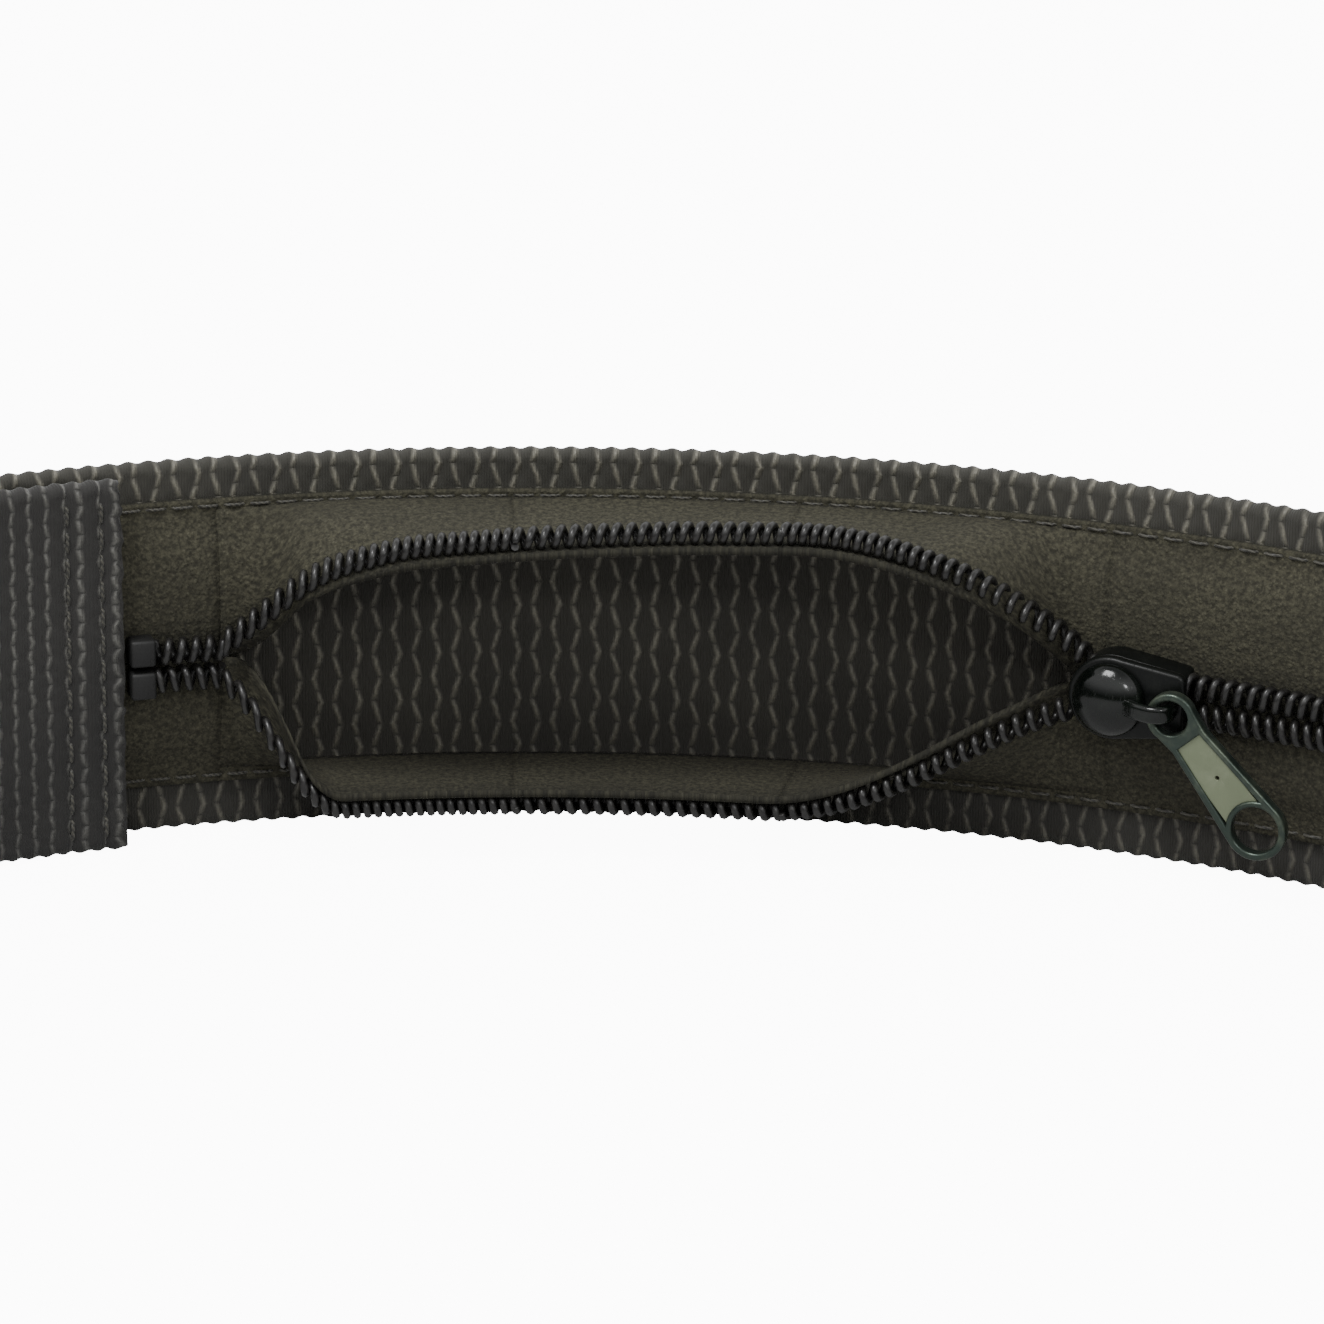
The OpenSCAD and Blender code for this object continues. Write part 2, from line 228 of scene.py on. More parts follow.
def round_bar(angle, toward):
    """The half turn round a bar, from its inner side to its outer side."""
    beta = np.linspace(0, math.pi, BAR_STEPS + 2)[1:-1]
    outward = polar(angle, 1.0, 0.0)[:2]
    ahead = np.array([outward[1], -outward[0]])
    turn = -np.cos(beta)[:, None] * outward + toward * np.sin(beta)[:, None] * ahead
    return polar(angle, BAR_LOOP, 0.0)[:2] + BAR_TURN * turn


def measured(plan, start):
    gone = np.linalg.norm(np.diff(plan, axis=0), axis=1)
    return start + np.concatenate([[0], np.cumsum(gone)])


def sheet_tube(angles, lines, thickness=TAPE_T, first=0.0):
    """A thin sheet. For each compass angle, lines holds the [radius, height] points of its section."""
    run = unit(np.gradient(lines, axis=1))
    normal = np.stack([run[..., 1], -run[..., 0]], -1) * thickness / 2
    loop = np.concatenate([lines + normal, (lines - normal)[:, ::-1]], 1)
    width = np.concatenate([np.zeros((len(lines), 1)),
                            np.cumsum(np.linalg.norm(np.diff(lines, axis=1), axis=-1), 1)], 1)
    across = first + np.concatenate([width, width[:, ::-1]], 1)
    along = np.radians(angles)[:, None] * HEM_R
    rings = polar(angles[:, None], loop[..., 0], loop[..., 1])
    return rings, np.stack(np.broadcast_arrays(along, across), -1)


def same_section(angles, line):
    return np.broadcast_to(np.array(line), (len(angles), len(line), 2)).copy()


def between_knots(values, places, at):
    """Values at some places on a smooth line through knots, whose own places run upward."""
    slope = np.gradient(values, places, axis=0)
    i = np.clip(np.searchsorted(places, at, side="right") - 1, 0, len(places) - 2)
    span = (places[i + 1] - places[i])[:, None]
    t = np.clip((at - places[i])[:, None] / span, 0, 1)
    return (values[i] * (2 * t**3 - 3 * t**2 + 1) + slope[i] * span * (t**3 - 2 * t**2 + t)
            + values[i + 1] * (3 * t**2 - 2 * t**3) + slope[i + 1] * span * (t**3 - t**2))


def smooth_line(knots, count):
    """Evenly spread points on a smooth line through the knots."""
    knots = np.array(knots, float)
    gone = measured(knots, 0)
    return between_knots(knots, gone, np.linspace(0, gone[-1], count))


def closed_section(side, inset=0.0, count=15):
    """The tape's section where the zip is closed: its sewn edge, then the span to the chain."""
    edge, fold = (UPPER_EDGE, UPPER_FOLD) if side > 0 else (LOWER_EDGE, LOWER_FOLD)
    start = edge - side * inset
    sewn = [(HEM_R, start + (fold - start) * t) for t in (0, 0.3, 0.7)]
    span = [(HEM_R - 0.05 * MM, fold), (HEM_R - 0.35 * MM, fold - side * 1.2 * MM),
            (TAPE_R + 0.3 * MM, fold - side * 3.6 * MM), (TAPE_R, fold - side * 5.2 * MM),
            (TAPE_R, CHAIN + side * 0.06 * MM)]
    return np.concatenate([sewn, smooth_line(span, count)])


def wire_coil(centres, across, front, turns, phase, wire=WIRE):
    """A flat-sided coil of wire. centres, across and front follow its run from one end to the other."""
    count = int(turns * TURN_STEPS) + 1
    at = np.linspace(0, len(centres) - 1, count)
    i = np.clip(at.astype(int), 0, len(centres) - 2)
    t = (at - i)[:, None]
    middle, wide, face = (v[i] * (1 - t) + v[i + 1] * t for v in (centres, across, front))
    turn = 2 * np.pi * (np.arange(count) / TURN_STEPS + phase)
    reach = np.cos(turn)[:, None]
    rise = np.sin(turn)[:, None]
    square = (np.abs(reach) ** 4 + np.abs(rise) ** 4) ** -0.1
    spoke = wide * reach * (COIL_HALF_W - wire) * square + face * rise * (COIL_HALF_T - wire) * square
    line = middle + spoke
    run = unit(np.gradient(line, axis=0))
    out = unit(spoke - run * (spoke * run).sum(-1, keepdims=True))
    beside = np.cross(run, out)
    spin = 2 * np.pi * np.arange(WIRE_SIDES) / WIRE_SIDES
    rings = (line[:, None] + wire * (np.cos(spin)[None, :, None] * out[:, None]
                                     + np.sin(spin)[None, :, None] * beside[:, None]))
    return rings, np.zeros(2)


def straight_coil(side, start, end, inset=0.0):
    """One row of coil lying closed beside the chain's middle line, in step with the whole zip."""
    turns = (end - start) / PITCH
    angles = np.linspace(start, end, int(turns) * 2)
    centres = polar(angles, CHAIN_R, CHAIN + side * (COIL_HALF_W + 0.03 * MM))
    across = np.broadcast_to([0, 0, -float(side)], centres.shape)
    front = -polar(angles, 1.0, 0.0)
    phase = (start - SLIDER_AT) / PITCH + (0.5 if side < 0 else 0)
    return wire_coil(centres, across, front, turns, phase % 1, wire=WIRE - inset)


def place_face_on(angle, radius, height):
    """A frame drawn as a person inside the loop sees it: X right, Y up, Z toward the loop's centre."""
    out = Vector(polar(angle, 1.0, 0.0))
    right = Vector((out.y, -out.x, 0))
    turned = Matrix((right, (0, 0, 1), -out)).transposed().to_4x4()
    return Matrix.Translation(Vector(polar(angle, radius, height))) @ turned


def select_only(piece):
    bpy.ops.object.select_all(action="DESELECT")
    piece.select_set(True)
    bpy.context.view_layer.objects.active = piece


def settle(piece, matrix):
    """Moves a piece to its place and puts that place into its mesh."""
    piece.matrix_world = matrix @ piece.matrix_world
    select_only(piece)
    bpy.ops.object.transform_apply(location=True, rotation=True, scale=True)


def merge_and_round(piece, radius):
    """Merges loose corners and rounds the sharp edges."""
    select_only(piece)
    bpy.ops.object.mode_set(mode="EDIT")
    bpy.ops.mesh.select_all(action="SELECT")
    bpy.ops.mesh.remove_doubles(threshold=0.005 * MM)
    bpy.ops.mesh.dissolve_limited(angle_limit=math.radians(1.0))
    bpy.ops.mesh.normals_make_consistent(inside=False)
    bpy.ops.object.mode_set(mode="OBJECT")
    if radius:
        bevel = piece.modifiers.new("soft_edges", "BEVEL")
        bevel.width = radius
        bevel.segments = 2
        bevel.limit_method = "ANGLE"
        bevel.angle_limit = math.radians(35)
        bevel.harden_normals = False
        bpy.ops.object.modifier_apply(modifier=bevel.name)
    bpy.ops.object.shade_smooth_by_angle(angle=math.radians(38))


def eased_copy(node, name, radius, material):
    """A copy of a hard part with merged corners and soft edges, which stands for the plain one."""
    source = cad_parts[node]
    piece = bpy.data.objects.new(name, source.data.copy())
    bpy.context.scene.collection.objects.link(piece)
    piece.data.materials.clear()
    piece.data.materials.append(material)
    merge_and_round(piece, radius)
    return piece


def flat_plate(name, outlines, depth, bevel, material, matrix):
    """A plate with round rims, cut from closed outlines: the first is its edge, the others are holes."""
    curve = bpy.data.curves.new(name, "CURVE")
    curve.dimensions = "2D"
    curve.fill_mode = "BOTH"
    curve.extrude = depth / 2 - bevel
    curve.bevel_depth = bevel
    curve.bevel_resolution = 3
    curve.offset = -bevel
    for outline in outlines:
        spline = curve.splines.new("POLY")
        spline.points.add(len(outline) - 1)
        spline.points.foreach_set("co", [c for x, y in outline for c in (x, y, 0, 1)])
        spline.use_cyclic_u = True
    piece = bpy.data.objects.new(name, curve)
    bpy.context.scene.collection.objects.link(piece)
    select_only(piece)
    bpy.ops.object.convert(target="MESH")
    piece = bpy.context.view_layer.objects.active
    piece.data.materials.clear()
    piece.data.materials.append(material)
    settle(piece, matrix)
    merge_and_round(piece, 0)
    return piece


def circle(x, y, radius, count=48):
    return [(x + radius * math.cos(a), y + radius * math.sin(a))
            for a in np.linspace(0, 2 * math.pi, count, endpoint=False)]


def join(name, parts):
    select_only(parts[0])
    for part in parts[1:]:
        part.select_set(True)
    bpy.context.view_layer.objects.active = parts[0]
    bpy.ops.object.join()
    parts[0].name = name
    parts[0].data.name = name
    return parts[0]


# ---------------------------------------------------------------- materials
class Graph:
    """Short ways to add and join shader nodes in a material or a group."""

    def __init__(self, tree):
        self.tree = tree

    def node(self, kind, **settings):
        made = self.tree.nodes.new(kind)
        for name, value in settings.items():
            setattr(made, name, value)
        return made

    def feed(self, socket, value):
        if isinstance(value, bpy.types.NodeSocket):
            self.tree.links.new(value, socket)
        else:
            socket.default_value = value

    def math(self, operation, *values):
        made = self.node("ShaderNodeMath", operation=operation)
        for socket, value in zip(made.inputs, values):
            self.feed(socket, value)
        return made.outputs[0]

    def span(self, value, low, high, to_low=0.0, to_high=1.0):
        made = self.node("ShaderNodeMapRange", interpolation_type="SMOOTHSTEP")
        for socket, given in zip(made.inputs, (value, low, high, to_low, to_high)):
            self.feed(socket, given)
        return made.outputs[0]

    def mix(self, factor, a, b, blend="MIX"):
        made = self.node("ShaderNodeMix", data_type="RGBA", blend_type=blend)
        self.feed(made.inputs[0], factor)
        self.feed(made.inputs[6], a)
        self.feed(made.inputs[7], b)
        return made.outputs[2]

    def noise(self, place, scale, detail=2.0, rough=0.5):
        made = self.node("ShaderNodeTexNoise")
        self.feed(made.inputs["Vector"], place)
        self.feed(made.inputs["Scale"], scale)
        made.inputs["Detail"].default_value = detail
        made.inputs["Roughness"].default_value = rough
        return made.outputs["Fac"]

    def bump(self, height, distance, strength=1.0, normal=None):
        made = self.node("ShaderNodeBump")
        made.inputs["Strength"].default_value = strength
        made.inputs["Distance"].default_value = distance
        self.feed(made.inputs["Height"], height)
        if normal is not None:
            self.feed(made.inputs["Normal"], normal)
        return made.outputs[0]

    def group(self, tree, **values):
        made = self.node("ShaderNodeGroup", node_tree=tree)
        for name, value in values.items():
            self.feed(made.inputs[name.replace("_", " ")], value)
        return made.outputs


def paint(red, green, blue):
    """A colour given in screen values, as the linear colour that a shader takes."""
    linear = [(c / 255 / 12.92) if c < 10 else ((c / 255 + 0.055) / 1.055) ** 2.4 for c in (red, green, blue)]
    return (*linear, 1.0)


def new_group(name, inputs, outputs):
    tree = bpy.data.node_groups.new(name, "ShaderNodeTree")
    for label, kind, value in inputs:
        made = tree.interface.new_socket(label, in_out="INPUT", socket_type=f"NodeSocket{kind}")
        if value is not None:
            made.default_value = value
    for label, kind in outputs:
        tree.interface.new_socket(label, in_out="OUTPUT", socket_type=f"NodeSocket{kind}")
    graph = Graph(tree)
    return graph, graph.node("NodeGroupInput").outputs, graph.node("NodeGroupOutput").inputs


def make_weave_group():
    """The webbing's raised threads: a net of zigzag threads over darker cells."""
    g, given, out = new_group(
        "webbing_weave",
        [("Cloth", "Vector", None), ("Thread", "Float", 0.2), ("Lean", "Float", LEAN),
         ("Rib", "Float", RIB), ("Reach", "Float", FLOAT)],
        [("Threads", "Float"), ("Height", "Float"), ("Fuzz", "Float")])
    split = g.node("ShaderNodeSeparateXYZ")
    g.feed(split.inputs[0], given["Cloth"])
    rib = g.math("DIVIDE", split.outputs[0], given["Rib"])
    place = g.math("DIVIDE", split.outputs[1], given["Reach"])
    odd = g.math("FLOORED_MODULO", g.math("FLOOR", rib), 2.0)
    zigzag = g.math("MULTIPLY_ADD", g.math("ABSOLUTE", g.math(
        "SUBTRACT", g.math("FLOORED_MODULO", place, 2.0), 1.0)), 2.0, -1.0)
    mirrored = g.math("MULTIPLY", zigzag, g.math("MULTIPLY_ADD", odd, -2.0, 1.0))
    wander = g.math("MULTIPLY_ADD", g.noise(given["Cloth"], 700.0), 0.16, -0.08)
    centre = g.math("ADD", g.math("MULTIPLY", mirrored, given["Lean"]), wander)
    off = g.math("ABSOLUTE", g.math("SUBTRACT", g.math(
        "SUBTRACT", g.math("FLOORED_MODULO", rib, 1.0), 0.5), centre))
    thread = g.span(off, 0.0, given["Thread"], 1.0, 0.0)
    swell = g.math("ABSOLUTE", g.math("SINE", g.math(
        "MULTIPLY", g.math("MULTIPLY_ADD", odd, 0.5, place), math.pi)))
    swell = g.math("MULTIPLY_ADD", g.math("POWER", swell, 0.6), 0.88, 0.12)
    fuzz = g.noise(given["Cloth"], 4200.0, 3.0, 0.7)
    threads = g.math("MULTIPLY", thread, swell)
    fibres = g.node("ShaderNodeTexWave", bands_direction="X")
    stretched = g.node("ShaderNodeVectorMath", operation="MULTIPLY")
    g.feed(stretched.inputs[0], given["Cloth"])
    stretched.inputs[1].default_value = (1.0, 0.12, 1.0)
    g.feed(fibres.inputs["Vector"], stretched.outputs[0])
    fibres.inputs["Scale"].default_value = 1100.0
    fibres.inputs["Distortion"].default_value = 3.0
    g.feed(out["Threads"], threads)
    g.feed(out["Height"], g.math("ADD", threads, g.math("MULTIPLY", fibres.outputs["Fac"], 0.16)))
    g.feed(out["Fuzz"], fuzz)
    return g.tree


def make_speckle_group():
    """A close plain weave: fine matt specks of thread."""
    g, given, out = new_group(
        "fine_weave",
        [("Cloth", "Vector", None), ("Size", "Float", 2600.0)],
        [("Specks", "Float"), ("Height", "Float"), ("Cloudy", "Float")])
    cells = g.node("ShaderNodeTexVoronoi", feature="F1")
    g.feed(cells.inputs["Vector"], given["Cloth"])
    g.feed(cells.inputs["Scale"], given["Size"])
    knots = g.span(cells.outputs["Distance"], 0.05, 0.75, 1.0, 0.0)
    grain = g.noise(given["Cloth"], given["Size"], 2.0, 0.6)
    g.feed(out["Specks"], g.math("MULTIPLY", knots, g.span(grain, 0.35, 0.65)))
    g.feed(out["Height"], g.math("ADD", g.math("MULTIPLY", knots, 0.6), grain))
    g.feed(out["Cloudy"], g.noise(given["Cloth"], 90.0, 2.0))
    return g.tree


def make_wear_group():
    """Handling wear on hard parts: worn edges, fine scratches and a little dust. The worn-edge mask also
    carries painted highlight where a material's edge colour is pale.
    """
    g, given, out = new_group(
        "handling_wear",
        [("Place", "Vector", None), ("Amount", "Float", 0.5)],
        [("Worn_And_Lit_Edges", "Float"), ("Scratches", "Float"), ("Dust", "Float")])
    raised = g.span(g.node("ShaderNodeNewGeometry").outputs["Pointiness"], 0.51, 0.6)
    patchy = g.span(g.noise(given["Place"], 900.0, 4.0, 0.65), 0.42, 0.62)
    g.feed(out["Worn_And_Lit_Edges"], g.math("MULTIPLY", g.math("MULTIPLY", raised, patchy), given["Amount"]))
    long_place = g.node("ShaderNodeVectorMath", operation="MULTIPLY")
    g.feed(long_place.inputs[0], given["Place"])
    long_place.inputs[1].default_value = (1.0, 1.0, 0.08)
    g.feed(out["Scratches"], g.span(g.noise(long_place.outputs[0], 5200.0, 2.0), 0.6, 0.72))
    g.feed(out["Dust"], g.noise(given["Place"], 260.0, 3.0, 0.7))
    return g.tree


WEAVE = make_weave_group()
SPECKLE = make_speckle_group()
WEAR = make_wear_group()


def new_material(name, roughness, **constants):
    """A material with its shader. Constants go straight on the shader's own sockets."""
    made = bpy.data.materials.new(name)
    made.use_nodes = True
    shader = made.node_tree.nodes["Principled BSDF"]
    shader.inputs["Roughness"].default_value = roughness
    for label, value in constants.items():
        shader.inputs[label.replace("_", " ")].default_value = value
    return made, Graph(made.node_tree), shader.inputs


def cloth_place(g):
    return g.node("ShaderNodeUVMap", uv_map="cloth").outputs[0]


def object_place(g):
    return g.node("ShaderNodeTexCoord").outputs["Object"]


def height_shade(g, low, high, dark, light):
    """A little darker toward the belt's lower edge, where less light comes in."""
    place = g.node("ShaderNodeSeparateXYZ")
    g.feed(place.inputs[0], object_place(g))
    return g.span(place.outputs[2], low, high, dark, light)


def dimmed(g, colour, shade):
    return g.mix(1.0, colour, g.mix(shade, (0, 0, 0, 1), (1, 1, 1, 1)), "MULTIPLY")


def webbing_material(name, ground, thread, width, lean, rib, reach):
    made, g, shader = new_material(name, 0.72, Sheen_Weight=0.12, Sheen_Roughness=0.5)
    cloth = cloth_place(g)
    weave = g.group(WEAVE, Cloth=cloth, Thread=width, Lean=lean, Rib=rib, Reach=reach)
    cloudy = g.noise(cloth, 60.0, 3.0)
    grade = height_shade(g, 0.0, 36 * MM, 0.62, 1.1)
    # the raised thread net is paler and the cells between it darker: partly the weave's own pattern, partly
    # painted highlight on the raised threads and painted shade in the cells
    pale_net_and_painted_highlight = g.math("MULTIPLY", weave["Threads"], g.span(weave["Fuzz"], 0.2, 0.75, 0.55, 1.1))
    colour = g.mix(pale_net_and_painted_highlight, ground, thread)
    shade = g.math("MULTIPLY", g.span(cloudy, 0.3, 0.7, 0.74, 1.14), grade)
    g.feed(shader["Base Color"], dimmed(g, colour, shade))
    g.feed(shader["Roughness"], g.span(weave["Threads"], 0.0, 1.0, 0.82, 0.5))
    fine = g.bump(weave["Fuzz"], 0.08 * MM, 0.5)
    g.feed(shader["Normal"], g.bump(weave["Height"], 0.3 * MM, 0.9, fine))
    return made


def tape_material(name, dark, pale):
    made, g, shader = new_material(name, 0.85, Specular_IOR_Level=0.25)
    cloth = cloth_place(g)
    speckle = g.group(SPECKLE, Cloth=cloth)
    across = g.node("ShaderNodeSeparateXYZ")
    g.feed(across.inputs[0], cloth)
    # close to the chain the tape is ribbed and darker
    near = g.span(across.outputs[1], 10.5 * MM, 15.5 * MM)
    ribs = g.math("SINE", g.math("MULTIPLY", across.outputs[0], 2 * math.pi / (0.67 * MM)))
    grain = g.span(g.noise(cloth, 1700.0, 3.0, 0.7), 0.36, 0.66)
    colour = g.mix(g.math("MULTIPLY_ADD", grain, 0.6, g.math("MULTIPLY", speckle["Specks"], 0.4)), dark, pale)
    colour = g.mix(g.span(speckle["Cloudy"], 0.35, 0.7, 0.0, 0.35), colour, dark)
    colour = g.mix(g.math("MULTIPLY", near, 0.45), colour, paint(22, 22, 23))
    g.feed(shader["Base Color"], dimmed(g, colour, height_shade(g, 2 * MM, 34 * MM, 0.95, 1.1)))
    g.feed(shader["Roughness"], g.span(speckle["Specks"], 0.0, 1.0, 0.95, 0.8))
    relief = g.math("MULTIPLY_ADD", g.math("MULTIPLY", ribs, near), 0.5, speckle["Height"])
    g.feed(shader["Normal"], g.bump(relief, 0.12 * MM, 0.8))
    return made


def nylon_wire_material():
    made, g, shader = new_material("coil_nylon", 0.4, Coat_Weight=0.12, Coat_Roughness=0.2)
    place = object_place(g)
    streak = g.noise(place, 1500.0, 3.0)
    g.feed(shader["Base Color"], g.mix(g.span(streak, 0.35, 0.7), paint(18, 17, 17), paint(34, 33, 31)))
    g.feed(shader["Roughness"], g.span(g.noise(place, 3000.0), 0.3, 0.7, 0.34, 0.5))
    g.feed(shader["Normal"], g.bump(streak, 0.04 * MM, 0.4))
    return made


def thread_material():
    made, g, shader = new_material("sewing_thread", 0.55, Sheen_Weight=0.15)
    place = object_place(g)
    twist = g.node("ShaderNodeTexWave", bands_direction="DIAGONAL")
    g.feed(twist.inputs["Vector"], place)
    twist.inputs["Scale"].default_value = 900.0
    g.feed(shader["Base Color"], g.mix(twist.outputs["Fac"], paint(36, 35, 31), paint(68, 66, 58)))
    g.feed(shader["Roughness"], g.span(g.noise(place, 2500.0), 0.3, 0.7, 0.45, 0.65))
    g.feed(shader["Normal"], g.bump(twist.outputs["Fac"], 0.08 * MM, 0.8))
    return made


def hard_material(name, colour, wear_dust_and_highlight_colour, roughness, metallic, wear, grain=0.0, **constants):
    """A painted, plated or moulded surface with wear on its edges. On the pull's rim the pale edge colour is
    also painted highlight.
    """
    made, g, shader = new_material(name, roughness, Metallic=metallic, **constants)
    place = object_place(g)
    worn = g.group(WEAR, Place=place, Amount=wear)
    toned = g.mix(g.span(worn["Dust"], 0.45, 0.75, 0.0, 0.3), colour, wear_dust_and_highlight_colour)
    # edges take the edge colour: worn edges, and on the pull's rim also painted highlight
    g.feed(shader["Base Color"], g.mix(worn["Worn_And_Lit_Edges"], toned, wear_dust_and_highlight_colour))
    scuffed = g.math("MULTIPLY_ADD", worn["Scratches"], 0.2, roughness)
    g.feed(shader["Roughness"], g.math("MULTIPLY_ADD", worn["Dust"], 0.12, scuffed))
    height = g.math("MULTIPLY_ADD", g.noise(place, 2200.0, 3.0, 0.6), grain, worn["Scratches"])
    g.feed(shader["Normal"], g.bump(height, 0.015 * MM if not grain else 0.05 * MM, 0.35))
    return made


def elastic_material():
    made, g, shader = new_material("ribbed_elastic", 0.8, Sheen_Weight=0.15)
    place = object_place(g)
    ribs = g.node("ShaderNodeTexWave", bands_direction="Z")
    g.feed(ribs.inputs["Vector"], place)
    ribs.inputs["Scale"].default_value = 330.0
    fuzz = g.noise(place, 3500.0, 3.0)
    height = g.math("MULTIPLY_ADD", fuzz, 0.4, ribs.outputs["Fac"])
    g.feed(shader["Base Color"], g.mix(g.span(height, 0.3, 1.1), paint(28, 27, 25), paint(60, 58, 52)))
    g.feed(shader["Roughness"], g.span(fuzz, 0.3, 0.7, 0.75, 0.9))
    g.feed(shader["Normal"], g.bump(height, 0.2 * MM, 0.9))
    return made


# the pale colour goes on the raised thread net: partly its own tone, partly painted highlight; the dark
# colour of the cells is partly painted shade
STRAP_CLOTH = webbing_material("strap_webbing", paint(47, 46, 40), paint(116, 113, 101), 0.23, LEAN,
                               RIB, FLOAT)
FOLD_CLOTH = webbing_material("fold_webbing", paint(35, 34, 32), paint(96, 95, 90), 0.22, 0.09,
                              FOLD_RIB, FOLD_FLOAT)
TAPE_CLOTH = tape_material("zip_tape_cloth", paint(42, 41, 34), paint(80, 78, 64))
COIL_NYLON = nylon_wire_material()
THREAD = thread_material()
ENAMEL = hard_material("black_enamel", paint(5, 8, 6), paint(34, 40, 34), 0.1, 0.0, 0.3,
                       Specular_IOR_Level=0.35, Coat_Weight=0.15, Coat_Roughness=0.04)
PLATE_ENAMEL = hard_material("plate_enamel", paint(10, 12, 11), paint(36, 38, 34), 0.32, 0.0, 0.3,
                             Specular_IOR_Level=0.25)
# pull rim: its pale edge colour is partly edge wear and partly painted highlight where light catches the rim
PULL_RIM = hard_material("pull_rim_metal", paint(56, 66, 60), paint(136, 144, 122), 0.25, 0.7, 0.8)
PULL_PANEL = hard_material("pull_panel_metal", paint(120, 128, 104), paint(150, 156, 134), 0.32, 0.5, 0.4)
CLIP_METAL = hard_material("clip_metal", paint(9, 9, 9), paint(24, 24, 22), 0.55, 0.0, 0.15)
SPRING_STEEL = hard_material("spring_steel", paint(150, 152, 155), paint(190, 190, 188), 0.25, 1.0, 0.4)
BUCKLE_NYLON = hard_material("buckle_nylon", paint(30, 30, 31), paint(64, 64, 63), 0.42, 0.0, 0.5, grain=0.8)
ELASTIC = elastic_material()


# ---------------------------------------------------------------- the strap
def finish_piece(piece, body, nodes):
    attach(piece, body)
    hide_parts(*nodes)


PLAIN = across_places(3 * MM, 35 * MM, 1.1 * MM, 1.25 * MM)


def add_webbing(name, node, cloth, tube):
    piece = skin(name, [tube], cloth)
    finish_piece(piece, "belt", [node])


def make_strap():
    """The long webbing, split where its stretches meet."""
    fine = across_places(7.2 * MM, 32.4 * MM, 0.48 * MM, 1.1 * MM)
    in_view = steps(SOCKET_SPLIT, VIEW_SPLIT, 0.118)
    beyond = steps(VIEW_SPLIT, ADJUST_SPLIT, SECTION)
    for name, angles, front in (("strap_pocket_side", in_view, fine), ("strap_long_side", beyond, PLAIN)):
        tube = webbing(arc_plan(angles, LOOP), np.radians(angles) * LOOP, lift(angles), front, PLAIN)
        add_webbing(name, "strap_main", STRAP_CLOTH, tube)

    outer = steps(SOCKET_BAR, SOCKET_SPLIT, SECTION)
    radius = RUN_OUT + (LOOP - RUN_OUT) * ease((outer - SOCKET_BAR) / 14)
    plan = np.concatenate([round_bar(SOCKET_BAR, -1), arc_plan(outer, radius)])
    low = np.concatenate([np.full(BAR_STEPS, lift(SOCKET_BAR)), lift(outer)])
    along = measured(plan, 0)
    along += math.radians(SOCKET_SPLIT) * LOOP - along[-1]
    add_webbing("strap_socket_end", "strap_socket_end", STRAP_CLOTH, webbing(plan, along, low, PLAIN, PLAIN))

    inner = steps(ADJUST_SPLIT, ADJUST_BAR, SECTION)
    radius = RUN_IN + (LOOP - RUN_IN) * ease((ADJUST_BAR - inner) / 13)
    plan = np.concatenate([arc_plan(inner, radius), round_bar(ADJUST_BAR, 1)])
    low = np.concatenate([lift(inner), np.full(BAR_STEPS, lift(ADJUST_BAR))])
    along = measured(plan, math.radians(ADJUST_SPLIT) * LOOP)
    add_webbing("strap_adjust_end", "strap_adjust_end", STRAP_CLOTH, webbing(plan, along, low, PLAIN, PLAIN))


def make_fold():
    """The return run from the socket's bar, sewn down over the start of the zip."""
    places = across_places(18 * MM, 20 * MM, 0.48 * MM, 0.5 * MM)
    angles = steps(SOCKET_BAR, FOLD_EDGE, 0.121)
    sink = sum(0.3 * MM * np.exp(-((angles - row) / 0.35) ** 2) for row in FOLD_ROWS)
    rings, measure = webbing(arc_plan(angles, RUN_IN + sink), np.radians(angles) * RUN_IN, lift(angles),
                             places, PLAIN, FOLD_RIB, FOLD_FLOAT)
    # the cut edge is sealed and a little ragged
    last = np.clip((angles - FOLD_EDGE + 0.5) / 0.5, 0, 1)[:, None]
    ragged = 0.3 * MM * last * np.sin(measure[..., 1] / MM * 2.9) * np.sin(measure[..., 1] / MM * 1.1 + 1)
    ahead = polar(FOLD_EDGE + 90, 1.0, 0.0)
    add_webbing("strap_fold", "strap_fold", FOLD_CLOTH, (rings + ragged[..., None] * ahead, measure))


def make_tail_and_cover():
    """The free tail outside the loop with its hem, and the patch over the zip's far end."""
    outer = steps(TAIL_END, ADJUST_BAR, SECTION)
    radius = RUN_OUT + (TAIL - RUN_OUT) * ease((ADJUST_BAR - outer) / 10)
    tube = webbing(arc_plan(outer, radius), np.radians(outer) * TAIL, lift(outer), PLAIN, PLAIN)
    add_webbing("tail_strap", "tail_strap", STRAP_CLOTH, tube)

    hem = steps(TAIL_END, TAIL_END + 8, SECTION)
    cover = steps(COVER_FROM, COVER_TO, 0.15)
    for name, angles, radius, gauge in (("tail_hem", hem, TAIL + STRAP_T + 0.05 * MM, TAIL),
                                        ("end_cover", cover, RUN_IN, RUN_IN)):
        tube = webbing(arc_plan(angles, radius), np.radians(angles) * gauge, lift(angles), PLAIN, PLAIN,
                       FOLD_RIB, FOLD_FLOAT)
        add_webbing(name, name, FOLD_CLOTH, tube)


